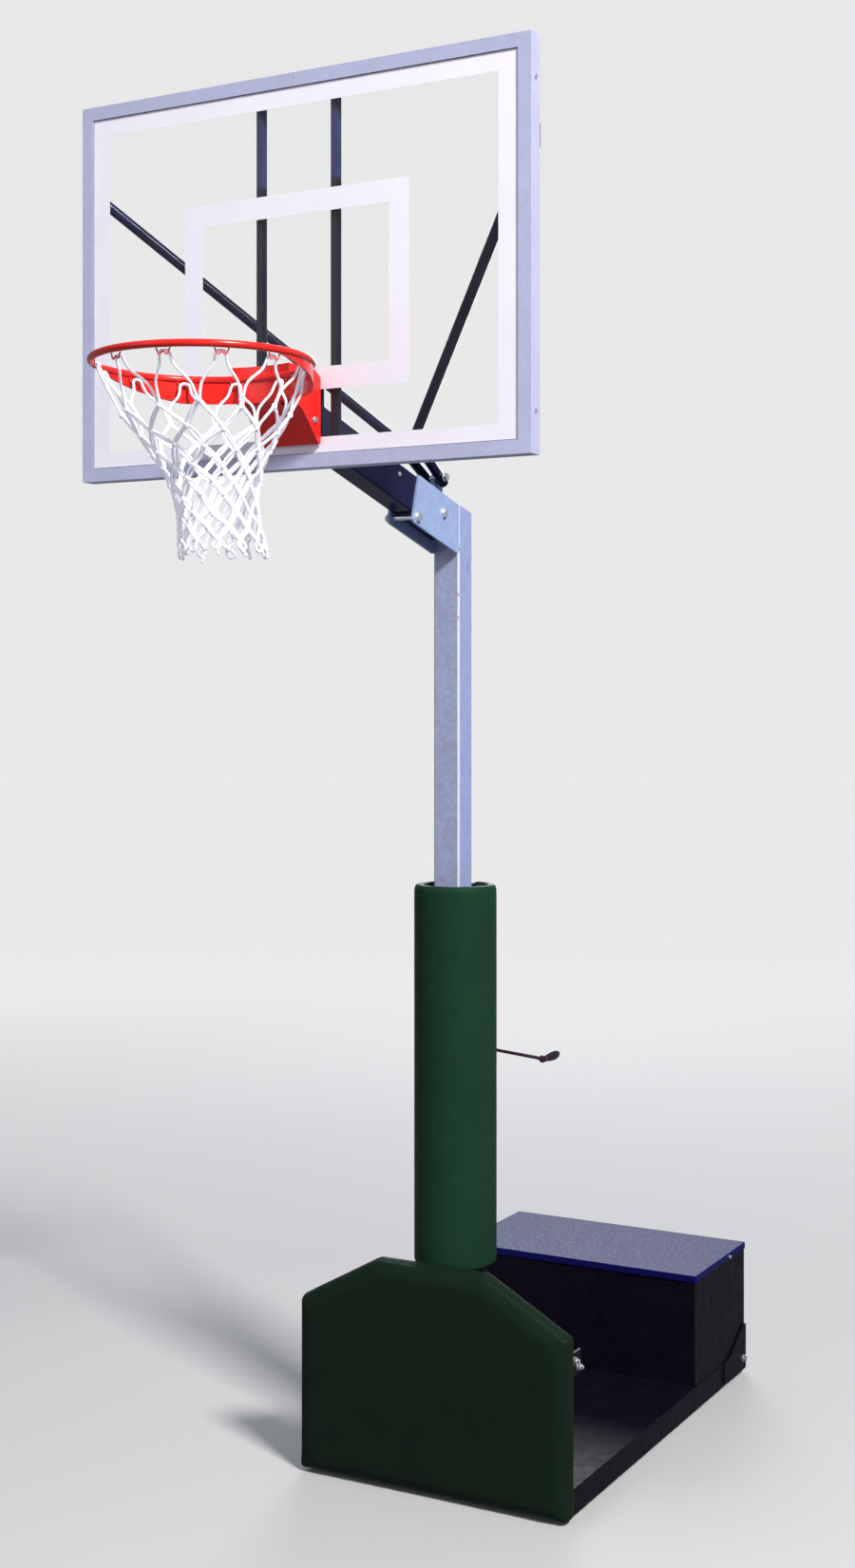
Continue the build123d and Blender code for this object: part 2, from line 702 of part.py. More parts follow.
box_rear_y = 124.0
bush_radius = 10.0
with BuildPart() as gearbox_housing:
    block((-30, 30), (post_rear, box_rear_y - 4), (crank_height - 44, crank_height + 40))
    window = (window_low, window_high)
    block((-window_half, window_half), (post_rear - 1, box_rear_y - 10), window, Mode.SUBTRACT)
    rod(y_plane(0, box_rear_y - 20, crank_height), bush_radius, 30, Mode.SUBTRACT)
    fillet(gearbox_housing.edges().filter_by(Axis.Y).group_by(Axis.X)[0], radius=5)
    fillet(gearbox_housing.edges().filter_by(Axis.Y).group_by(Axis.X)[-1], radius=5)
gearbox_housing.part.label = "gearbox_housing"
export_step(gearbox_housing.part, "parts/gearbox_housing.step")

with BuildPart() as bronze_bushes:
    rod(y_plane(0, box_rear_y - 10, crank_height), bush_radius, 10)
    rod(y_plane(0, box_rear_y - 4, crank_height), bush_radius + 5, 4)
    rod(y_plane(0, box_rear_y - 20, crank_height), crank_shaft_radius + screw_clearance, 30, Mode.SUBTRACT)
    rod(Plane(origin=(0, screw_y, deck_top + 3)), 7, 9)
    rod(Plane(origin=(0, screw_y, deck_top + 12)), 14, 5)
    rod(Plane(origin=(0, screw_y, deck_top + 2)), journal_radius + screw_clearance, 30, Mode.SUBTRACT)
bronze_bushes.part.label = "bronze_bushes"
export_step(bronze_bushes.part, "parts/bronze_bushes.step")


# ---------------------------------------------------------------- crank

arm_front_y = 160.0
arm_thickness = 10.0
arm_end_x = crank_reach * cos(radians(crank_droop))
arm_end_z = crank_height - crank_reach * sin(radians(crank_droop))
spindle_radius = 4.0
grip_start_y = arm_front_y + arm_thickness + 0.6
grip_length = 84.0

with BuildPart() as crank_shaft:
    shaft_start = screw_y + gear_toe + 0.5
    shaft_length = arm_front_y + 6 - screw_y - gear_toe
    rod(y_plane(0, shaft_start, crank_height), crank_shaft_radius, shaft_length)
crank_shaft.part.label = "crank_shaft"
export_step(crank_shaft.part, "parts/crank_shaft.step")

arm_axis = Plane(origin=(0, arm_front_y + arm_thickness / 2, crank_height), x_dir=(0, 1, 0),
                 z_dir=(cos(radians(crank_droop)), 0, -sin(radians(crank_droop))))
with BuildPart() as crank_arm:
    rod(y_plane(0, arm_front_y - 6, crank_height), 13, arm_thickness + 8)
    rod(arm_axis.offset(6), 4.7, crank_reach - 12)
    rod(y_plane(arm_end_x, arm_front_y, arm_end_z), 10, arm_thickness)
    rod(y_plane(0, arm_front_y - 20, crank_height), crank_shaft_radius, 26.5, Mode.SUBTRACT)
    rod(y_plane(arm_end_x, arm_front_y - 5, arm_end_z), spindle_radius, 30, Mode.SUBTRACT)
crank_arm.part.label = "crank_arm"
export_step(crank_arm.part, "parts/crank_arm.step")

with BuildPart() as grip_spindle:
    rod(y_plane(arm_end_x, arm_front_y - 5, arm_end_z), 8, 5)
    rod(y_plane(arm_end_x, arm_front_y, arm_end_z), spindle_radius, arm_thickness + grip_length + 4)
    rod(y_plane(arm_end_x, grip_start_y + grip_length + 0.4, arm_end_z), 7, 3)
grip_spindle.part.label = "grip_spindle"
export_step(grip_spindle.part, "parts/grip_spindle.step")

grip_end_y = grip_start_y + grip_length
with BuildPart() as crank_grip:
    with BuildSketch(Plane(origin=(arm_end_x, 0, arm_end_z), x_dir=(1, 0, 0), z_dir=(0, 0, 1))):
        with BuildLine():
            swelling = (13.5, grip_start_y + 58)
            flank = Spline((9, grip_start_y), (9.5, grip_start_y + 8), swelling, (8, grip_end_y))
            Line(flank @ 0, (spindle_radius + 0.05, grip_start_y))
            Line((spindle_radius + 0.05, grip_start_y), (spindle_radius + 0.05, grip_end_y))
            Line((spindle_radius + 0.05, grip_end_y), flank @ 1)
        make_face()
    revolve(axis=Axis((arm_end_x, 0, arm_end_z), (0, 1, 0)))
crank_grip.part.label = "crank_grip"
export_step(crank_grip.part, "parts/crank_grip.step")


# ---------------------------------------------------------------- pads

pad_slot_half = 6.0
with BuildPart() as pole_pad:
    with BuildSketch(Plane.XY.offset(pole_pad_bottom)):
        with Locations((0, post_y)):
            Circle(pole_pad_radius)
            Circle(pole_pad_bore, mode=Mode.SUBTRACT)
    extrude(amount=pole_pad_top - pole_pad_bottom)
    rim_edges = pole_pad.edges().filter_by(GeomType.CIRCLE).group_by(Axis.Z)
    fillet(rim_edges[-1].sort_by(SortBy.LENGTH)[-1], radius=10)
    round_edges = pole_pad.edges().filter_by(GeomType.CIRCLE)
    fillet(round_edges.group_by(Axis.Z)[0].sort_by(SortBy.LENGTH)[-1], radius=6)
    rear_from, rear_to = post_y + 40, post_y + pole_pad_radius + 5
    full_height = (pole_pad_bottom - 1, pole_pad_top + 1)
    block((-pad_slot_half, pad_slot_half), (rear_from, rear_to), full_height, Mode.SUBTRACT)
    block((-34, 34), (rear_from, rear_to), (crank_height - 48, crank_height + 44), Mode.SUBTRACT)
pole_pad.part.label = "pole_pad"
export_step(pole_pad.part, "parts/pole_pad.step")


def pad_outline(inset):
    """The base pad's six-sided outline in x and z, moved in by an inset."""
    low, shoulder, high = base_pad_bottom + inset, base_pad_shoulder - 0.4 * inset, base_pad_top - inset
    half, top_half = base_pad_half - inset, base_pad_top_half - 0.4 * inset
    right = [(half, low), (half, shoulder), (top_half, high)]
    return right + [(-x, z) for x, z in reversed(right)]


pad_board_inset = 18.0
pad_bolt_places = [(-270, 120), (270, 120), (-270, 380), (270, 380)]
with BuildPart() as base_pad:
    with BuildSketch(facing_front(base_pad_rear)) as pad_face:
        Polygon(*pad_outline(0), align=None)
        fillet(pad_face.vertices(), radius=16)
    extrude(amount=base_pad_rear - base_pad_front)
    fillet(base_pad.faces().sort_by(Axis.Y)[0].edges(), radius=12)
    with BuildSketch(facing_front(base_pad_rear)):
        Polygon(*pad_outline(pad_board_inset), align=None)
    extrude(amount=pad_board_thickness, mode=Mode.SUBTRACT)
    for bolt_x, bolt_z in pad_bolt_places:
        rod(y_plane(bolt_x, base_pad_rear - pad_board_thickness - 14, bolt_z), 12, 15, Mode.SUBTRACT)
base_pad.part.label = "base_pad"
export_step(base_pad.part, "parts/base_pad.step")

pad_bolt_radius = 4.0
with BuildPart() as pad_board:
    with BuildSketch(facing_front(base_pad_rear)):
        Polygon(*pad_outline(pad_board_inset), align=None)
        with Locations(*pad_bolt_places):
            Circle(pad_bolt_radius, mode=Mode.SUBTRACT)
    extrude(amount=pad_board_thickness)
pad_board.part.label = "pad_board"
export_step(pad_board.part, "parts/pad_board.step")


# ---------------------------------------------------------------- base

front_plate_sheet = 6.0
front_plate_rear = base_pad_rear + front_plate_sheet
plate_top = 560.0
with BuildPart() as front_plate:
    with BuildSketch(facing_front(base_pad_rear)) as plate_face:
        Polygon(
            (-368, floor_gap), (368, floor_gap), (368, 440), (150, plate_top), (-150, plate_top), (-368, 440),
            align=None,
        )
        fillet(plate_face.vertices(), radius=10)
        with Locations(*pad_bolt_places):
            Circle(pad_bolt_radius, mode=Mode.SUBTRACT)
    extrude(amount=-front_plate_sheet)
front_plate.part.label = "front_plate"
export_step(front_plate.part, "parts/front_plate.step")

# Cleats at the sides of the front plate carry the pad's side bolts.
cleat_z = 372.0
cleat_bolts = [(-22, cleat_z + 11), (2, cleat_z - 11)]
with BuildPart() as pad_cleats:
    for way in (-1, 1):
        near, far = sorted((way * 356, way * 362))
        block((near, far), (front_plate_rear, 22), (cleat_z - 30, cleat_z + 30))
        near, far = sorted((way * 316, way * 362))
        block((near, far), (front_plate_rear, front_plate_rear + 6), (cleat_z - 30, cleat_z + 30))
        for bolt_y, bolt_z in cleat_bolts:
            rod(x_plane(way * 340, bolt_y, bolt_z, way), 5, 30, Mode.SUBTRACT)
pad_cleats.part.label = "pad_cleats"
export_step(pad_cleats.part, "parts/pad_cleats.step")

with BuildPart() as pad_bolts:
    for bolt_x, bolt_z in pad_bolt_places:
        head = y_plane(bolt_x, front_plate_rear, bolt_z)
        hex_bolt(head, pad_bolt_radius, front_plate_sheet + pad_board_thickness, 5, 6)
    for way in (-1, 1):
        for bolt_y, bolt_z in cleat_bolts:
            hex_bolt(x_plane(way * 362, bolt_y, bolt_z, way), 5, 6, 7, 7)
            rod(x_plane(way * 362, bolt_y, bolt_z, way), 4.4, 16)
pad_bolts.part.label = "pad_bolts"
export_step(pad_bolts.part, "parts/pad_bolts.step")

rail_flange = 34.0
deck_front = front_plate_rear
with BuildPart() as base_rails:
    for way in (-1, 1):
        near, far = sorted((way * (base_half - rail_flange), way * base_half))
        block((near, far), (deck_front, deck_rear), (floor_gap, deck_top - deck_sheet))
        near, far = sorted((way * (base_half - rail_flange - 1), way * (base_half - 4)))
        span = (floor_gap + 4, deck_top - deck_sheet - 4)
        block((near, far), (deck_front - 1, deck_rear + 1), span, Mode.SUBTRACT)
base_rails.part.label = "base_rails"
export_step(base_rails.part, "parts/base_rails.step")

with BuildPart() as base_deck:
    with BuildSketch(Plane.XY.offset(deck_top - deck_sheet)):
        with Locations((0, (deck_front + deck_rear) / 2)):
            Rectangle(2 * base_half, deck_rear - deck_front)
        with Locations(*foot_places):
            Circle(foot_bolt_radius, mode=Mode.SUBTRACT)
    extrude(amount=deck_sheet)
base_deck.part.label = "base_deck"
export_step(base_deck.part, "parts/base_deck.step")

# Cross members between the side rails; the first carries the foot strip under the mast.
cross_half = base_half - rail_flange - 0.5
cross_height = deck_top - deck_sheet - floor_gap
with BuildPart() as crossbars:
    for cross_y in (-30, 480, 1010):
        middle = (-cross_half, cross_y, floor_gap + cross_height / 2)
        end = Plane(origin=middle, x_dir=(0, 1, 0), z_dir=(1, 0, 0))
        square_tube(end, 70, cross_height, 4, 6, 2 * cross_half)
    for bolt_x, bolt_y in foot_places:
        rod(Plane(origin=(bolt_x, bolt_y, 50)), 13, 40, Mode.SUBTRACT)
crossbars.part.label = "crossbars"
export_step(crossbars.part, "parts/crossbars.step")

with BuildPart() as foot_strip:
    block((-340, 340), (-78, 18), (0, floor_gap))
    fillet(foot_strip.edges().filter_by(Axis.Z), radius=12)
foot_strip.part.label = "foot_strip"
export_step(foot_strip.part, "parts/foot_strip.step")

# A square tube props the post from behind.
prop_size = 2 * inch
prop_fall = 34.0
prop_high = Vector(0, post_rear, 545)
prop_dir = Vector(0, cos(radians(prop_fall)), -sin(radians(prop_fall)))
with BuildPart() as post_prop:
    end = Plane(origin=prop_high - prop_dir * 60, x_dir=(1, 0, 0), z_dir=prop_dir)
    square_tube(end, prop_size, prop_size, 3.5, 5, 1100)
    split(bisect_by=Plane(origin=(0, post_rear, 0), z_dir=(0, 1, 0)), keep=Keep.TOP)
    split(bisect_by=Plane(origin=(0, box_front - 8, 0), z_dir=(0, 1, 0)), keep=Keep.BOTTOM)
    split(bisect_by=Plane(origin=(0, 0, deck_top), z_dir=(0, 0, 1)), keep=Keep.TOP)
post_prop.part.label = "post_prop"
export_step(post_prop.part, "parts/post_prop.step")


# ---------------------------------------------------------------- ballast box

lid_bolt_y = (box_front + 2 * box_rear) / 3


def box_shape(inset):
    """The box's block with a well for a wheel at each rear bottom corner, moved in by an inset."""
    half = box_half - inset
    block((-half, half), (box_front + inset, box_rear - inset), (deck_top + inset, box_top + inset))
    for way in (-1, 1):
        near, far = sorted((way * (well_inner - inset), way * (box_half + 10)))
        well_height = (deck_top - 10, well_top + inset)
        block((near, far), (well_front - inset, box_rear + 10), well_height, Mode.SUBTRACT)


with BuildPart() as box_hollow:
    box_shape(box_sheet)

with BuildPart() as ballast_box:
    box_shape(0)
    add(box_hollow.part, mode=Mode.SUBTRACT)
    for way in (-1, 1):
        rod(x_plane(way * (box_half - 10), lid_bolt_y, box_top - 9, way), 3, 20, Mode.SUBTRACT)
ballast_box.part.label = "ballast_box"
export_step(ballast_box.part, "parts/ballast_box.step")

lid_overhang = box_sheet + 1
lid_skirt = 16.0
with BuildPart() as ballast_lid:
    lid_half = box_half + lid_overhang
    block((-lid_half, lid_half), (box_front - lid_overhang, box_rear + lid_overhang),
          (box_top - lid_skirt, box_top + box_sheet))
    fillet(ballast_lid.edges().filter_by(Axis.Z), radius=8)
    fillet(ballast_lid.faces().sort_by(Axis.Z)[-1].edges(), radius=2.5)
    room = 0.5
    block((-box_half - room, box_half + room), (box_front - room, box_rear + room),
          (box_top - lid_skirt - 1, box_top), Mode.SUBTRACT)
    for way in (-1, 1):
        rod(x_plane(way * (box_half - 10), lid_bolt_y, box_top - 9, way), 3, 20, Mode.SUBTRACT)
ballast_lid.part.label = "ballast_lid"
export_step(ballast_lid.part, "parts/ballast_lid.step")

with BuildPart() as cover_screws:
    for way in (-1, 1):
        lid_side = x_plane(way * (box_half + lid_overhang), lid_bolt_y, box_top - 9, way)
        hex_bolt(lid_side, 3, box_sheet + lid_overhang, 4, 5)
        for rise in (-1, 1):
            with BuildSketch(y_plane(way * 22, box_rear_y - 4, crank_height + rise * 30 - 2)):
                Circle(4.5)
            extrude(amount=3)
cover_screws.part.label = "cover_screws"
export_step(cover_screws.part, "parts/cover_screws.step")

# Slabs of iron stand in the box.
slab_count = 4
slab_width = 170.0
slab_pitch = 2 * (box_half - box_sheet) / slab_count
with BuildPart() as ballast_slabs:
    for slab in range(slab_count):
        slab_x = -(box_half - box_sheet) + (slab + 0.5) * slab_pitch
        low = deck_top + box_sheet
        slab_sides = (slab_x - slab_width / 2, slab_x + slab_width / 2)
        block(slab_sides, (box_front + 20, well_front - 15), (low, low + 80))
ballast_slabs.part.label = "ballast_slabs"
export_step(ballast_slabs.part, "parts/ballast_slabs.step")


# ---------------------------------------------------------------- rear wheels

bracket_sheet = 4.0
fork_inner = 337.0
fork_outer = base_half + bracket_sheet
axle_at = (wheel_y, wheel_radius + wheel_clearance)
with BuildPart() as wheel_brackets:
    for way in (-1, 1):
        near, far = sorted((way * fork_inner, way * fork_outer))
        block((near, far), (deck_rear, well_front - 2), (deck_top - bracket_sheet, deck_top))
        with BuildSketch(across(base_half if way > 0 else -fork_outer)) as cheek:
            Polygon((1008, 18), (1196, 14), (1196, 152), (1176, 152), (1060, 86), (1008, 78), align=None)
            fillet(cheek.vertices(), radius=6)
        extrude(amount=bracket_sheet)
        with BuildSketch(across(fork_inner if way > 0 else -fork_inner - bracket_sheet)):
            Polygon((deck_rear, 34), (well_front, 14), (1196, 14), (1196, 100), (well_front + 14, 100),
                    (well_front + 2, deck_top), (deck_rear, deck_top), align=None)
        extrude(amount=bracket_sheet)
    rod(x_plane(-450, *axle_at), axle_radius, 900, Mode.SUBTRACT)
wheel_brackets.part.label = "wheel_brackets"
export_step(wheel_brackets.part, "parts/wheel_brackets.step")

with BuildPart() as axle_bolts:
    for way in (-1, 1):
        hex_bolt(x_plane(way * fork_outer, *axle_at, way), axle_radius, fork_outer - fork_inner, 8, 9)
axle_bolts.part.label = "axle_bolts"
export_step(axle_bolts.part, "parts/axle_bolts.step")

for way, wheel_name in ((-1, "wheel_left"), (1, "wheel_right")):
    near_face = (wheel_x * way - wheel_width / 2, *axle_at)
    wheel_plane = Plane(origin=near_face, x_dir=(0, 1, 0), z_dir=(1, 0, 0))
    with BuildPart() as wheel:
        rod(wheel_plane, wheel_radius, wheel_width)
        fillet(wheel.edges().filter_by(GeomType.CIRCLE), radius=6)
        for face_plane in (wheel_plane, wheel_plane.offset(wheel_width - 5)):
            with BuildSketch(face_plane):
                Circle(wheel_radius - 13)
                Circle(14, mode=Mode.SUBTRACT)
            extrude(amount=5, mode=Mode.SUBTRACT)
        rod(wheel_plane.offset(-1), axle_radius + axle_clearance, wheel_width + 2, Mode.SUBTRACT)
    wheel.part.label = wheel_name
    export_step(wheel.part, f"parts/{wheel_name}.step")
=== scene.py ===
import json
import math
import random

import bmesh
import bpy
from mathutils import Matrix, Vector, noise


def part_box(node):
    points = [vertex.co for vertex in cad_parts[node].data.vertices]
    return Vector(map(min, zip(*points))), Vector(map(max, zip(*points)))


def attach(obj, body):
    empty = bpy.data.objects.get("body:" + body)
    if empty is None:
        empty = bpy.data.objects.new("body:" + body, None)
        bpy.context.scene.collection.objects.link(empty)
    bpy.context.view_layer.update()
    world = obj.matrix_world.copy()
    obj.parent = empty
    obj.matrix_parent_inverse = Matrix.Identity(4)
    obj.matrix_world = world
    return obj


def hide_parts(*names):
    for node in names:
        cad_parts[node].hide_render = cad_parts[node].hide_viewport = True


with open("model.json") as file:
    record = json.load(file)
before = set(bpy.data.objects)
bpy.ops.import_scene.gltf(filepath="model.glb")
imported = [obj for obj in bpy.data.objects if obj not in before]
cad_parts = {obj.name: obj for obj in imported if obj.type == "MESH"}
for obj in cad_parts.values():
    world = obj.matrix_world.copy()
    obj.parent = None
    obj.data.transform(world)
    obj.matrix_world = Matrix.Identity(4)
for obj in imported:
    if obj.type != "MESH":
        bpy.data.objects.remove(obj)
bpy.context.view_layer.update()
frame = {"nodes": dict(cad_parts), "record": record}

nodes = frame["nodes"]
scene = bpy.context.scene
rng = random.Random(20)


def lo_hi(node):
    low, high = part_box(node)
    return Vector(low), Vector(high)


# ------------------------------------------------------------------ materials

class Graph:
    """A material's node tree with short helpers."""

    def __init__(self, name, mat=None):
        self.mat = mat or bpy.data.materials.new(name)
        self.mat.use_nodes = True
        self.nodes = self.mat.node_tree.nodes
        self.links = self.mat.node_tree.links
        self.bsdf = self.nodes["Principled BSDF"]
        self.coord = self.nodes.new("ShaderNodeTexCoord").outputs["Object"]

    def link(self, a, b):
        self.links.new(a, b)

    def scaled(self, scale):
        if isinstance(scale, (int, float)):
            scale = (scale, scale, scale)
        m = self.nodes.new("ShaderNodeMapping")
        m.inputs["Scale"].default_value = scale
        self.link(self.coord, m.inputs["Vector"])
        return m.outputs["Vector"]

    def noise(self, scale, detail=3.0, rough=0.55, distort=0.0):
        n = self.nodes.new("ShaderNodeTexNoise")
        n.inputs["Scale"].default_value = 1.0
        n.inputs["Detail"].default_value = detail
        n.inputs["Roughness"].default_value = rough
        n.inputs["Distortion"].default_value = distort
        self.link(self.scaled(scale), n.inputs["Vector"])
        return n.outputs["Fac"]

    def cells(self, scale, output="Color"):
        n = self.nodes.new("ShaderNodeTexVoronoi")
        n.inputs["Scale"].default_value = 1.0
        self.link(self.scaled(scale), n.inputs["Vector"])
        return n.outputs[output]

    def grey(self, colour):
        n = self.nodes.new("ShaderNodeRGBToBW")
        self.link(colour, n.inputs["Color"])
        return n.outputs["Val"]

    def ramp(self, value, stops):
        n = self.nodes.new("ShaderNodeValToRGB")
        ramp = n.color_ramp
        while len(ramp.elements) < len(stops):
            ramp.elements.new(0.5)
        for element, (where, colour) in zip(ramp.elements, stops):
            element.position = where
            element.color = (*colour[:3], 1.0)
        self.link(value, n.inputs["Fac"])
        return n.outputs["Color"]

    def mapped(self, value, low, high, from_low=0.0, from_high=1.0):
        n = self.nodes.new("ShaderNodeMapRange")
        n.inputs["From Min"].default_value = from_low
        n.inputs["From Max"].default_value = from_high
        n.inputs["To Min"].default_value = low
        n.inputs["To Max"].default_value = high
        self.link(value, n.inputs["Value"])
        return n.outputs["Result"]

    def mix(self, factor, a, b):
        n = self.nodes.new("ShaderNodeMix")
        n.data_type = "RGBA"
        targets = [n.inputs[0], n.inputs[6], n.inputs[7]]
        for target, value in zip(targets, (factor, a, b)):
            if isinstance(value, bpy.types.NodeSocket):
                self.link(value, target)
            elif target.type == "RGBA":
                target.default_value = (*value[:3], 1.0)
            else:
                target.default_value = value
        return n.outputs[2]

    def math(self, operation, a, b):
        n = self.nodes.new("ShaderNodeMath")
        n.operation = operation
        self.link(a, n.inputs[0])
        self.link(b, n.inputs[1])
        return n.outputs["Value"]

    def spot(self, place, radii):
        """One inside a small ellipsoid, fading to nothing at its surface."""
        m = self.nodes.new("ShaderNodeMapping")
        m.inputs["Scale"].default_value = [1 / r for r in radii]
        m.inputs["Location"].default_value = [-p / r for p, r in zip(place, radii)]
        self.link(self.coord, m.inputs["Vector"])
        n = self.nodes.new("ShaderNodeVectorMath")
        n.operation = "LENGTH"
        self.link(m.outputs["Vector"], n.inputs[0])
        return self.mapped(n.outputs["Value"], 0.9, 0.0, 0.5, 1.0)

    def bump(self, height, strength, distance):
        n = self.nodes.new("ShaderNodeBump")
        n.inputs["Strength"].default_value = strength
        n.inputs["Distance"].default_value = distance
        self.link(height, n.inputs["Height"])
        self.link(n.outputs["Normal"], self.bsdf.inputs["Normal"])

    def set(self, **values):
        for key, value in values.items():
            name = key.replace("_", " ")
            self.bsdf.inputs[name].default_value = value


def shade(colour, k):
    return tuple(min(1.0, c * k) for c in colour)


def coated(name, base, rough=0.35, spread=0.12, scale=14, grain=0.12, dust=None, gloss=0.5):
    """Paint or plastic: cloudy tone, fine orange peel, and optional pale dust."""
    g = Graph(name)
    tone = g.noise(scale, 4)
    colour = g.ramp(tone, [(0.3, shade(base, 1 - spread)), (0.7, shade(base, 1 + spread))])
    if dust:
        amount, tint = dust
        dust_mask = g.mapped(g.noise(60, 6, 0.7), 0.0, amount, 0.45, 0.75)
        colour = g.mix(dust_mask, colour, tint)
    g.link(colour, g.bsdf.inputs["Base Color"])
    g.link(g.mapped(g.noise(scale * 3, 3), rough * 0.8, rough * 1.25, 0.3, 0.7), g.bsdf.inputs["Roughness"])
    g.bump(g.noise(420, 2), grain, 0.0004)
    g.bsdf.inputs["Specular IOR Level"].default_value = gloss
    return g.mat


def metal(name, base, rough=0.4, spangle=0.0, streak=0.1, grain=0.15, metallic=0.85, stretch=(4, 4, 90)):
    """Bare or plated metal: zinc spangle in cells, with drawn streaks and stains."""
    g = Graph(name)
    tone = g.noise(9, 5)
    colour = g.ramp(tone, [(0.3, shade(base, 1 - streak)), (0.7, shade(base, 1 + streak))])
    if spangle:
        cell = g.grey(g.cells(85))
        cell_tone = g.ramp(cell, [(0.2, shade(base, 1 - spangle)), (0.8, shade(base, 1 + spangle))])
        colour = g.mix(0.5, colour, cell_tone)
    g.link(colour, g.bsdf.inputs["Base Color"])
    g.link(g.mapped(g.noise(stretch, 4), rough * 0.75, rough * 1.3, 0.3, 0.7), g.bsdf.inputs["Roughness"])
    g.bump(g.noise(300, 3), grain, 0.0003)
    g.set(Metallic=metallic)
    return g.mat


def vinyl(name, base, light):
    """Vinyl cover over foam: fine leather grain, soft tonal clouding and a weak sheen."""
    g = Graph(name)
    colour = g.ramp(g.noise(7, 5, 0.6), [(0.3, base), (0.72, light)])
    g.link(colour, g.bsdf.inputs["Base Color"])
    g.link(g.mapped(g.noise(25, 4), 0.42, 0.6, 0.3, 0.7), g.bsdf.inputs["Roughness"])
    g.bump(g.cells(700, "Distance"), 0.14, 0.0005)
    g.bsdf.inputs["Specular IOR Level"].default_value = 0.06
    g.bsdf.inputs["Sheen Weight"].default_value = 0.01
    g.bsdf.inputs["Sheen Roughness"].default_value = 0.4
    g.bsdf.inputs["Sheen Tint"].default_value = (0.35, 0.6, 0.45, 1)
    return g.mat


def cord_material(name, base, shadow):
    """Braided white cord: darker lavender patches placed by noise as painted shade in its hollows, and a painted
    glow for light through the cord.
    """
    g = Graph(name)
    # The second colour is painted shade for the braid's hollows, placed by noise.
    colour = g.ramp(g.noise(160, 4, 0.6), [(0.3, shadow), (0.62, base)])
    g.link(colour, g.bsdf.inputs["Base Color"])
    g.link(g.mapped(g.noise(90, 2), 0.75, 0.95), g.bsdf.inputs["Roughness"])
    g.bump(g.cells(900, "Distance"), 0.5, 0.0009)
    # Painted glow: the cord's colour emitted weakly, standing in for light passing through the cord.
    g.link(colour, g.bsdf.inputs["Emission Color"])
    g.bsdf.inputs["Emission Strength"].default_value = 0.17
    return g.mat


def clear_sheet(name):
    g = Graph(name)
    tint = g.ramp(g.noise(3, 2), [(0.3, (0.90, 0.93, 0.97)), (0.7, (0.95, 0.97, 1.0))])
    g.link(tint, g.bsdf.inputs["Base Color"])
    g.link(g.mapped(g.noise(12, 3), 0.03, 0.07, 0.3, 0.7), g.bsdf.inputs["Roughness"])
    g.link(g.mapped(g.noise(5, 3), 0.006, 0.012, 0.3, 0.7), g.bsdf.inputs["Alpha"])
    g.bsdf.inputs["Specular IOR Level"].default_value = 0.15
    g.mat.surface_render_method = "BLENDED"
    return g.mat


def wood(name):
    g = Graph(name)
    grain = g.noise((6, 6, 110), 5, 0.6, 0.6)
    colour = g.ramp(grain, [(0.3, (0.33, 0.20, 0.10)), (0.7, (0.58, 0.42, 0.25))])
    g.link(colour, g.bsdf.inputs["Base Color"])
    g.link(g.mapped(grain, 0.6, 0.85), g.bsdf.inputs["Roughness"])
    g.bump(grain, 0.2, 0.0005)
    return g.mat


def enamel_with_painted_reflection(name, low, high, z):
    """Enamel that is paler above a height: a painted reflection of the sky there."""
    g = Graph(name)
    split = g.nodes.new("ShaderNodeSeparateXYZ")
    g.link(g.coord, split.inputs[0])
    # Painted reflection: a paler, noisy tone of the enamel, used above the height z.
    painted_sky_reflection = g.ramp(g.noise(40, 4), [(0.3, shade(high, 0.75)), (0.7, shade(high, 1.3))])
    g.link(g.mix(g.mapped(split.outputs["Z"], 0, 1, z - 0.004, z + 0.004), low, painted_sky_reflection), g.bsdf.inputs["Base Color"])
    g.link(g.mapped(g.noise(30, 3), 0.15, 0.25, 0.3, 0.7), g.bsdf.inputs["Roughness"])
    g.bump(g.noise(420, 2), 0.06, 0.0004)
    g.bsdf.inputs["Specular IOR Level"].default_value = 0.2
    return g.mat


def mast_zinc_and_painted_light(name, base):
    """Galvanised square tube: speckled faces, side faces paler and bluer as painted light, a painted highlight
    along the front right corner rounding, and a few rub and weld marks.
    """
    mat = metal(name, base, 0.42, 0.16, 0.10, metallic=0.12)
    g = Graph(name, mat)
    body = g.bsdf.inputs["Base Color"].links[0].from_socket
    split = g.nodes.new("ShaderNodeSeparateXYZ")
    g.link(g.coord, split.inputs[0])
    # Painted light: the side faces, at x near +-0.038, get a paler and bluer tone, as lit faces.
    lit_side_mask = g.mapped(g.math("ABSOLUTE", split.outputs["X"], split.outputs["X"]), 0, 0.75, 0.0372, 0.0380)
    body = g.mix(lit_side_mask, body, g.ramp(g.noise(70, 4), [(0.3, (0.23, 0.31, 0.56)), (0.7, (0.31, 0.39, 0.66))]))
    # Painted highlight: a pale line along the rounded corner at +x, -y.
    across = g.math("SUBTRACT", split.outputs["X"], split.outputs["Y"])
    corner = g.mapped(across, 0, 0.9, 0.0708, 0.0722)
    body = g.mix(corner, body, (0.66, 0.64, 0.76))
    for place, radii, colour in (
        ((0.038, 0.012, 2.425), (0.01, 0.0035, 0.016), (0.10, 0.08, 0.20)),
        ((0.038, -0.015, 2.432), (0.01, 0.0025, 0.013), (0.16, 0.13, 0.30)),
        ((0.034, -0.037, 2.470), (0.01, 0.01, 0.009), (0.30, 0.14, 0.20)),
        ((0.034, -0.037, 2.350), (0.006, 0.006, 0.006), (0.42, 0.25, 0.33)),
        ((0.036, -0.037, 2.290), (0.004, 0.004, 0.007), (0.42, 0.28, 0.36)),
    ):
        body = g.mix(g.spot(place, radii), body, colour)
    g.link(body, g.bsdf.inputs["Base Color"])
    return mat


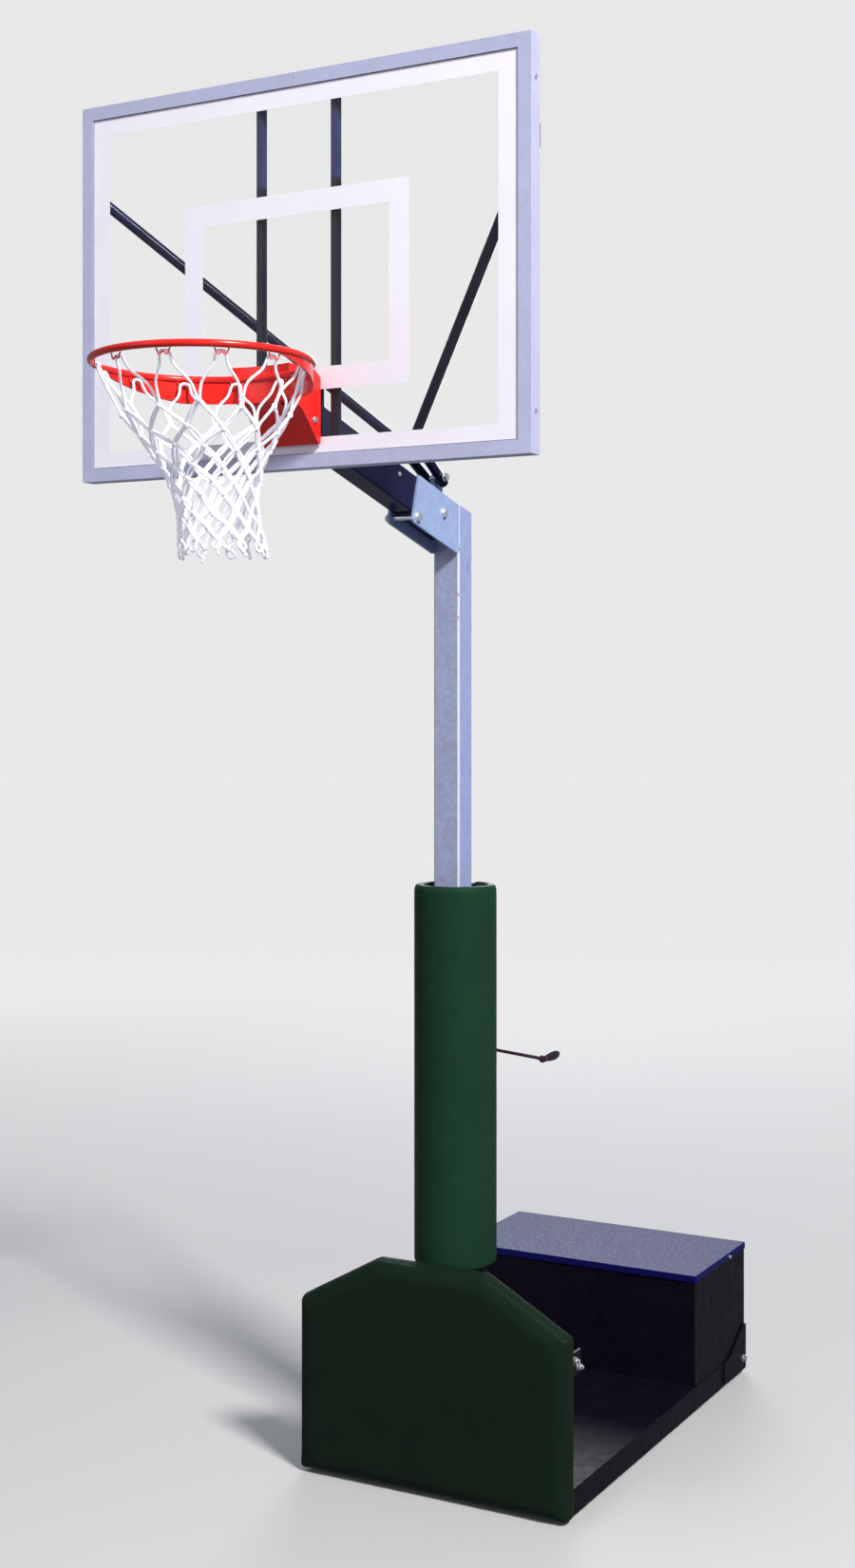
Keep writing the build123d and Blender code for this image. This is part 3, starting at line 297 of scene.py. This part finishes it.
M = {
    "galvanised": metal("galvanised", (0.29, 0.38, 0.63), 0.42, 0.12, 0.09, metallic=0.15),
    # The inner mast's zinc carries painted light: paler lit sides and a corner highlight.
    "mast_zinc_and_painted_light": mast_zinc_and_painted_light("mast_zinc_and_painted_light", (0.31, 0.34, 0.51)),
    "board_frame": metal("board_frame", (0.43, 0.45, 0.64), 0.44, 0.05, 0.07, metallic=0.12),
    # The uprights' enamel carries a painted sky reflection above a height.
    "upright_paint_and_painted_reflection": enamel_with_painted_reflection("upright_paint_and_painted_reflection", (0.0035, 0.0045, 0.014), (0.022, 0.026, 0.085), 3.268),
    "zinc_hardware": metal("zinc_hardware", (0.82, 0.82, 0.84), 0.25, 0.05, 0.1),
    "machined_steel": metal("machined_steel", (0.48, 0.48, 0.48), 0.3, 0.0, 0.1),
    "bronze": metal("bronze", (0.50, 0.33, 0.13), 0.4, 0.0, 0.15),
    "acrylic": clear_sheet("acrylic"),
    "gasket_rubber": coated("gasket_rubber", (0.03, 0.026, 0.04), 0.75, 0.2, 40, 0.3),
    "navy_paint": coated("navy_paint", (0.008, 0.008, 0.036), 0.18, 0.3, 9, 0.05, gloss=0.09),
    "rim_red": coated("rim_red", (0.66, 0.016, 0.012), 0.22, 0.10, 16, 0.10, gloss=0.35),
    "base_paint": coated("base_paint", (0.0050, 0.0036, 0.0088), 0.40, 0.22, 12, 0.16, gloss=0.045,
                         dust=(0.022, (0.10, 0.085, 0.14))),
    # The lid's navy blue is a painted sky reflection on the box's top; its dust is real.
    "lid_paint_and_painted_reflection": coated("lid_paint_and_painted_reflection", (0.0048, 0.0048, 0.078), 0.40, 0.03, 30, 0.10, gloss=0.045,
                        dust=(0.008, (0.1, 0.09, 0.3))),
    "crank_paint": coated("crank_paint", (0.045, 0.016, 0.030), 0.25, 0.2, 20, 0.08, gloss=0.25),
    "grip_plastic": coated("grip_plastic", (0.022, 0.009, 0.020), 0.28, 0.2, 30, 0.08, gloss=0.2),
    "plywood": wood("plywood"),
    "nylon": coated("nylon", (0.75, 0.73, 0.66), 0.55, 0.06, 20, 0.1),
    "iron_ballast": coated("iron_ballast", (0.05, 0.045, 0.045), 0.8, 0.3, 30, 0.6),
    "wheel_red": coated("wheel_red", (0.42, 0.035, 0.065), 0.45, 0.12, 25, 0.15, dust=(0.3, (0.2, 0.12, 0.12))),
    "pad_vinyl": vinyl("pad_vinyl", (0.0080, 0.0330, 0.0170), (0.0100, 0.0400, 0.0210)),
    # A darker copy of the pad vinyl: painted shade for the base pad's cover.
    "base_vinyl_painted_shade": vinyl("base_vinyl_painted_shade", (0.0058, 0.0150, 0.0088), (0.0070, 0.0185, 0.0108)),
    # The net cord's second colour is painted shade, and the cord has a painted glow.
    "net_cord": cord_material("net_cord", (0.93, 0.92, 0.97), (0.76, 0.73, 0.90)),
    "stripe": coated("stripe", (0.82, 0.80, 0.89), 0.6, 0.02, 8, 0.05, gloss=0.08),
    "clip_red": coated("clip_red", (0.72, 0.07, 0.09), 0.35, 0.15, 40, 0.1),
}

slots = {s["node"]: s["material_slot"] for s in frame["record"]["subparts"]}
# The lid, the uprights and the inner mast take materials that carry painted light.
special = {"ballast_lid": "lid_paint_and_painted_reflection", "net_clips": "clip_red", "board_uprights": "upright_paint_and_painted_reflection",
           "inner_mast": "mast_zinc_and_painted_light", "grip_spindle": "crank_paint"}
for name, obj in nodes.items():
    material = M[special.get(name, slots[name])]
    obj.data.materials.clear()
    obj.data.materials.append(material)


def finish_piece(obj, material, body, smooth=True):
    obj.data.materials.clear()
    obj.data.materials.append(M[material])
    if smooth and obj.type == "MESH":
        for p in obj.data.polygons:
            p.use_smooth = True
    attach(obj, body)
    return obj


def new_mesh(name, verts, faces):
    mesh = bpy.data.meshes.new(name)
    mesh.from_pydata([tuple(v) for v in verts], [], faces)
    mesh.update()
    obj = bpy.data.objects.new(name, mesh)
    scene.collection.objects.link(obj)
    return obj


def baked(obj):
    """Replaces an object's mesh with its evaluated one, without modifiers."""
    graph = bpy.context.evaluated_depsgraph_get()
    mesh = bpy.data.meshes.new_from_object(obj.evaluated_get(graph))
    obj.modifiers.clear()
    obj.data = mesh
    return obj


def tubes(name, paths, radius, ring=8, caps=True):
    """Round cords along point lists, as one mesh."""
    verts, faces = [], []
    for path in paths:
        pts = [Vector(p) for p in path]
        start = len(verts)
        side = None
        for i, p in enumerate(pts):
            ahead = pts[min(i + 1, len(pts) - 1)] - pts[max(i - 1, 0)]
            ahead.normalize()
            if side is None:
                side = ahead.orthogonal().normalized()
            side = (side - ahead * side.dot(ahead)).normalized()
            other = ahead.cross(side)
            for k in range(ring):
                a = 2 * math.pi * k / ring
                verts.append(p + (side * math.cos(a) + other * math.sin(a)) * radius)
        for i in range(len(pts) - 1):
            for k in range(ring):
                a, b = start + i * ring + k, start + i * ring + (k + 1) % ring
                faces.append((a, b, b + ring, a + ring))
        if caps:
            faces.append(tuple(start + k for k in reversed(range(ring))))
            last = start + (len(pts) - 1) * ring
            faces.append(tuple(last + k for k in range(ring)))
    return new_mesh(name, verts, faces)


# ------------------------------------------------------------------ paint on the panel

panel_low = lo_hi("backboard_panel")[0]
board_low, board_high = lo_hi("frame_bottom")
lip = board_high.z - board_low.z
top_z = lo_hi("frame_sides")[1].z


def painted_frame(name, outer, inner, front, thick):
    """A flat rectangular band on the panel; outer and inner are (x0, z0, x1, z1)."""
    def ring(box, y):
        x0, z0, x1, z1 = box
        return [(x0, y, z0), (x1, y, z0), (x1, y, z1), (x0, y, z1)]

    verts = ring(outer, front) + ring(inner, front) + ring(outer, front + thick) + ring(inner, front + thick)
    faces = []
    for i in range(4):
        j = (i + 1) % 4
        faces += [(i, j, 4 + j, 4 + i), (8 + j, 8 + i, 12 + i, 12 + j)]
        faces += [(i, 8 + i, 8 + j, j), (4 + j, 12 + j, 12 + i, 4 + i)]
    obj = new_mesh(name, verts, faces)
    return finish_piece(obj, "stripe", "mast", smooth=False)


paint_y = panel_low.y - 0.0004
half = board_high.x
edge = lip + 0.0005
painted_frame("paint_border", (-half + edge, board_low.z + edge, half - edge, top_z - edge),
              (-0.5285, board_low.z + 0.069, 0.5285, top_z - 0.0755), paint_y, 0.0003)
painted_frame("paint_target", (-0.305, 2.784, 0.305, 3.244), (-0.254, 2.836, 0.254, 3.192), paint_y, 0.0003)


# ------------------------------------------------------------------ net

ring_low, ring_high = lo_hi("rim_ring")
net_low, net_high = lo_hi("net")
centre = Vector(((ring_low.x + ring_high.x) / 2, (ring_low.y + ring_high.y) / 2, 0))
clip_low = lo_hi("net_clips")[0]
loops = 12
cord_radius = 0.0030
pair_offset = 0.0024
knot_radii = (0.0066, 0.0066, 0.0076)
tail_radii = (0.0038, 0.0038, 0.0046)
# heights and radii of the net, from its hooks to its tails
profile = [(2.790, 0.2275), (2.730, 0.206), (2.684, 0.180), (2.640, 0.152), (2.602, 0.126), (2.567, 0.107),
           (2.534, 0.095), (2.501, 0.088), (2.469, 0.0855), (2.438, 0.087), (2.408, 0.091), (2.37, 0.095)]


def net_radius(z):
    for (z1, r1), (z0, r0) in zip(profile, profile[1:]):
        if z >= z0:
            return r0 + (r1 - r0) * (z - z0) / (z1 - z0)
    return profile[-1][1]


def net_point(bearing, z, out=0.0):
    """A point on the net; it hangs a little to one side lower down."""
    drop = max(0.0, (net_high.z - z) / (net_high.z - net_low.z))
    lean = Vector((0.046, 0.018, 0)) * drop ** 1.2
    b = math.radians(bearing)
    r = net_radius(z) + out
    return centre + lean + Vector((math.sin(b) * r, math.cos(b) * r, z))


hook_z = clip_low.z + 0.0050
row_z = [z for z, r in profile[2:-1]]
step = 360 / loops
leg = 2.2
knots = []
for row, z in enumerate(row_z):
    line = []
    for k in range(loops):
        bearing = (k + (0.0 if row % 2 == 0 else 0.5)) * step + rng.uniform(-3.6, 3.6)
        line.append((bearing, z + rng.uniform(-0.006, 0.006)))
    knots.append(line)

strands = []


def smooth_path(points, count):
    """A Catmull-Rom run through (bearing, z, out) places, on the net."""
    pts = []
    ends = [points[0]] + list(points) + [points[-1]]
    for i in range(len(points) - 1):
        a, b, c, d = ends[i:i + 4]
        for j in range(count):
            t = j / count
            mixed = [0.5 * (2 * q + (r - p) * t + (2 * p - 5 * q + 4 * r - w) * t * t
                            + (3 * q - p - 3 * r + w) * t * t * t) for p, q, r, w in zip(a, b, c, d)]
            pts.append(net_point(*mixed))
    pts.append(net_point(*points[-1]))
    return pts


def near(bearing, other):
    """The bearing, turned by whole circles to lie nearest another."""
    return other + ((bearing - other + 180) % 360) - 180


def strand(a, b, out=0.0, sway=0.0, count=4):
    """A cord between two (bearing, z) places, bowed outwards and sideways."""
    end = near(b[0], a[0])
    middle = ((a[0] + end) / 2 + sway, (a[1] + b[1]) / 2, out)
    strands.append(smooth_path([(a[0], a[1], 0.0), middle, (end, b[1], 0.0)], count))


# Each loop goes over its hook and down to the two knots on either side of it.
for k in range(loops):
    hook = (k + 0.5) * step
    left = near(knots[0][k][0], hook), knots[0][k][1]
    right = near(knots[0][(k + 1) % loops][0], hook), knots[0][(k + 1) % loops][1]
    slack = rng.uniform(0.0, 2.4)
    belly = rng.uniform(-0.012, 0.004)
    crown = hook_z + 0.002
    strands.append(smooth_path([
        (left[0] + 0.7, left[1], 0.0),
        ((left[0] + hook - 3.6 * leg) / 2 - slack, crown - 0.058, belly),
        (hook - 2.0 * leg - slack * 0.3, crown - 0.026, belly * 0.4),
        (hook - 1.2 * leg, crown - 0.001, -0.001),
        (hook, crown + 0.0035, -0.002),
        (hook + 1.2 * leg, crown - 0.001, -0.001),
        (hook + 2.0 * leg + slack * 0.3, crown - 0.026, belly * 0.4),
        ((right[0] + hook + 3.6 * leg) / 2 + slack, crown - 0.058, belly),
        (right[0] - 0.7, right[1], 0.0),
    ], 6))
for row in range(len(row_z) - 1):
    for k in range(loops):
        a = knots[row][k]
        below = (k - 1) % loops if row % 2 == 0 else k
        for j in (below, (below + 1) % loops):
            b = knots[row + 1][j]
            wide = 0.0 if row == 0 else 1.0
            for pair in (-1, 1):
                apart_a = pair * math.degrees(pair_offset / net_radius(a[1]))
                apart_b = pair * math.degrees(pair_offset / net_radius(b[1]))
                strand((a[0] + apart_a, a[1]), (b[0] + apart_b, b[1]), out=pair * 0.0018,
                       sway=pair * rng.uniform(0.5, 1.5) * wide + rng.uniform(-0.9, 0.9), count=4)
tails = []
for k in range(loops):
    a = knots[-1][k]
    reach = rng.uniform(0.014, 0.034)
    bend = rng.uniform(-7, 7)
    low = (a[0] + bend, a[1] - reach, 0.0)
    # a small closing loop, and a loose end beside some of them
    strands.append(smooth_path([(a[0] - 1.2, a[1], 0.0), (low[0] - 5.5, a[1] - reach * 0.6, 0.002), low,
                                (low[0] + 5.5, a[1] - reach * 0.6, 0.002), (a[0] + 1.2, a[1], 0.0)], 5))
    if rng.random() < 0.45:
        end = (a[0] + rng.uniform(-5, 5), a[1] - reach - 0.010)
        strand(a, end, sway=rng.uniform(-3, 3))
        tails.append(net_point(*end))

net_cords = finish_piece(tubes("net_cords", strands, cord_radius), "net_cord", "mast")
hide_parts("net")


def blobs(name, places):
    """Small rounded lumps, each a (place, radii) pair, for knots."""
    verts, faces = [], []
    ball = bmesh.new()
    bmesh.ops.create_icosphere(ball, subdivisions=2, radius=1.0)
    ball.verts.index_update()
    shape = [v.co.copy() for v in ball.verts]
    tris = [tuple(v.index for v in f.verts) for f in ball.faces]
    ball.free()
    for place, radii in places:
        start = len(verts)
        for v in shape:
            lump = 1 + 0.12 * noise.noise(v * 2.3 + place * 50)
            verts.append(place + Vector((v.x * radii[0], v.y * radii[1], v.z * radii[2])) * lump)
        faces += [tuple(start + i for i in t) for t in tris]
    return new_mesh(name, verts, faces)


knot_places = []
for line in knots:
    for bearing, z in line:
        knot_places.append((net_point(bearing, z), knot_radii))
for tail in tails:
    knot_places.append((tail, tail_radii))
finish_piece(blobs("net_knots", knot_places), "net_cord", "mast")


# ------------------------------------------------------------------ pads

def copy_of(node, name):
    obj = nodes[node].copy()
    obj.data = nodes[node].data.copy()
    obj.name = name
    obj.parent = None
    for key in list(obj.keys()):
        del obj[key]
    obj.matrix_world.identity()
    obj.hide_render = obj.hide_viewport = False
    scene.collection.objects.link(obj)
    bm = bmesh.new()
    bm.from_mesh(obj.data)
    bmesh.ops.remove_doubles(bm, verts=bm.verts, dist=1e-5)
    bm.to_mesh(obj.data)
    bm.free()
    obj.data.materials.clear()
    return obj


def swell(obj, voxel, pressure, cap, pinned, frames=14, shape=None):
    """Foam under a tight cover: remesh, inflate as cloth with its fixed side pinned, cap the travel, subdivide."""
    remesh = obj.modifiers.new("remesh", "REMESH")
    remesh.mode = "VOXEL"
    remesh.voxel_size = voxel
    baked(obj)
    rest = [v.co.copy() for v in obj.data.vertices]
    if shape:
        for v in obj.data.vertices:
            v.co = shape(v.co)
    group = obj.vertex_groups.new(name="held")
    group.add([i for i, p in enumerate(rest) if pinned(p)], 1.0, "REPLACE")
    cloth = obj.modifiers.new("cloth", "CLOTH")
    settings = cloth.settings
    settings.quality = 5
    settings.mass = 0.3
    settings.use_pressure = True
    settings.uniform_pressure_force = pressure
    settings.vertex_group_mass = "held"
    settings.tension_stiffness = settings.compression_stiffness = 40
    settings.bending_stiffness = 2.0
    settings.effector_weights.gravity = 0
    cloth.collision_settings.use_collision = False
    cloth.point_cache.frame_start = 1
    cloth.point_cache.frame_end = frames
    for f in range(1, frames + 1):
        scene.frame_set(f)
    baked(obj)
    scene.frame_set(1)
    for v, home in zip(obj.data.vertices, rest):
        move = v.co - home
        if move.length > cap:
            v.co = home + move.normalized() * cap
    smooth = obj.modifiers.new("smooth", "SMOOTH")
    smooth.factor = 0.5
    smooth.iterations = 6
    sub = obj.modifiers.new("sub", "SUBSURF")
    sub.levels = sub.render_levels = 1
    baked(obj)
    return obj


pad_high = lo_hi("base_pad")[1]


def crowned(p):
    """The base pad's front starts a little behind its final face."""
    depth = max(0.0, (pad_high.y - 0.030 - p.y) / 0.020)
    return Vector((p.x, p.y + 0.003 * min(1.0, depth), p.z))


base_cover = swell(copy_of("base_pad", "base_pad_cover"), 0.008, 2.5, 0.006,
                   lambda p: p.y > pad_high.y - 0.017, shape=crowned)
# The base pad's cover takes the darker copy of the pad vinyl, a painted shade.
finish_piece(base_cover, "base_vinyl_painted_shade", "base")
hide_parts("base_pad")

pole_low, pole_high = lo_hi("pole_pad")
pole_mid = (pole_low + pole_high) / 2
pole_bore = 0.0835
skin_start = 0.09
skin_rise = 0.0060


def radial(p):
    """The distance from the pole pad's axis."""
    return math.hypot(p.x - pole_mid.x, p.y - pole_mid.y)


def fuller(p):
    """The pole pad's outer skin, let out by the foam under it."""
    r = radial(p)
    if r < skin_start:
        return p
    k = (r + skin_rise) / r
    return Vector((pole_mid.x + (p.x - pole_mid.x) * k, pole_mid.y + (p.y - pole_mid.y) * k, p.z))


pole_cover = swell(copy_of("pole_pad", "pole_pad_cover"), 0.008, 2.0, 0.0085,
                   lambda p: radial(p) < pole_bore + 0.006, shape=fuller)
finish_piece(pole_cover, "pad_vinyl", "base")
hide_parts("pole_pad")


# ------------------------------------------------------------------ floor, light and camera

backdrop_glow = 0.80
floor = new_mesh("floor", [(-60, -60, 0), (60, -60, 0), (60, 60, 0), (-60, 60, 0)], [(0, 1, 2, 3)])
floor_graph = Graph("floor")
floor_tone = floor_graph.ramp(floor_graph.noise(0.4, 2), [(0.3, (0.50, 0.50, 0.51)), (0.7, (0.515, 0.515, 0.52))])
# Farther out the floor fades into the backdrop's glow.
floor_distance = floor_graph.nodes.new("ShaderNodeVectorMath")
floor_distance.operation = "LENGTH"
floor_graph.link(floor_graph.coord, floor_distance.inputs[0])
floor_far = floor_graph.mapped(floor_distance.outputs["Value"], 0, 1, 2.2, 9.0)
floor_graph.link(floor_graph.mix(floor_far, floor_tone, (0.0, 0.0, 0.0)), floor_graph.bsdf.inputs["Base Color"])
floor_graph.link(floor_graph.mapped(floor_far, 0, backdrop_glow), floor_graph.bsdf.inputs["Emission Strength"])
floor_graph.bsdf.inputs["Emission Color"].default_value = (0.995, 0.995, 1, 1)
floor_graph.set(Roughness=0.95)
floor.data.materials.append(floor_graph.mat)
floor.visible_diffuse = False
floor.visible_glossy = False

world = bpy.data.worlds.new("studio")
scene.world = world
world.use_nodes = True
world.node_tree.nodes["Background"].inputs["Color"].default_value = (0.90, 0.93, 1.0, 1)
world.node_tree.nodes["Background"].inputs["Strength"].default_value = 0.28
scene.view_settings.view_transform = "Standard"
scene.view_settings.look = "None"

wall_radius, wall_sides = 55.0, 48
wall_corners = [(wall_radius * math.cos(2 * math.pi * k / wall_sides),
                 wall_radius * math.sin(2 * math.pi * k / wall_sides)) for k in range(wall_sides)]
wall_faces = [(k, (k + 1) % wall_sides, (k + 1) % wall_sides + wall_sides, k + wall_sides)
              for k in range(wall_sides)]
backdrop = new_mesh("backdrop", [(x, y, z) for z in (-1.0, 60.0) for x, y in wall_corners], wall_faces)
backdrop_graph = Graph("backdrop")
backdrop_tone = backdrop_graph.ramp(backdrop_graph.noise(0.05, 1), [(0.3, (0.99, 0.99, 1.0)), (0.7, (1, 1, 1))])
backdrop_graph.link(backdrop_tone, backdrop_graph.bsdf.inputs["Emission Color"])
backdrop_graph.bsdf.inputs["Base Color"].default_value = (0, 0, 0, 1)
backdrop_graph.bsdf.inputs["Emission Strength"].default_value = backdrop_glow
backdrop.data.materials.append(backdrop_graph.mat)
backdrop.visible_diffuse = False
backdrop.visible_glossy = False
backdrop.visible_shadow = False


def area_light(name, place, aim, size, power, colour):
    data = bpy.data.lights.new(name, "AREA")
    data.shape = "SQUARE"
    data.size = size
    data.energy = power
    data.color = colour
    obj = bpy.data.objects.new(name, data)
    obj.location = place
    obj.rotation_euler = (Vector(aim) - Vector(place)).to_track_quat("-Z", "Y").to_euler()
    scene.collection.objects.link(obj)


area_light("key", (7.0, -4.2, 8.6), (0, -0.3, 1.8), 1.9, 1800, (1.0, 0.98, 0.95))
area_light("fill", (-3.0, -7.5, 4.0), (0, -0.3, 1.8), 4.0, 70, (0.85, 0.9, 1.0))
area_light("rear", (-3.5, 8.5, 5.0), (0, 0, 1.6), 4.0, 420, (0.9, 0.95, 1.0))

camera_data = bpy.data.cameras.new("camera")
camera = bpy.data.objects.new("camera", camera_data)
scene.collection.objects.link(camera)
camera.location = (2.477, -4.684, 2.067)
camera.rotation_euler = (math.radians(90), 0, math.radians(28.6))
camera_data.lens = 45.82
camera_data.sensor_width = 36.0
camera_data.shift_y = -0.0521
scene.camera = camera
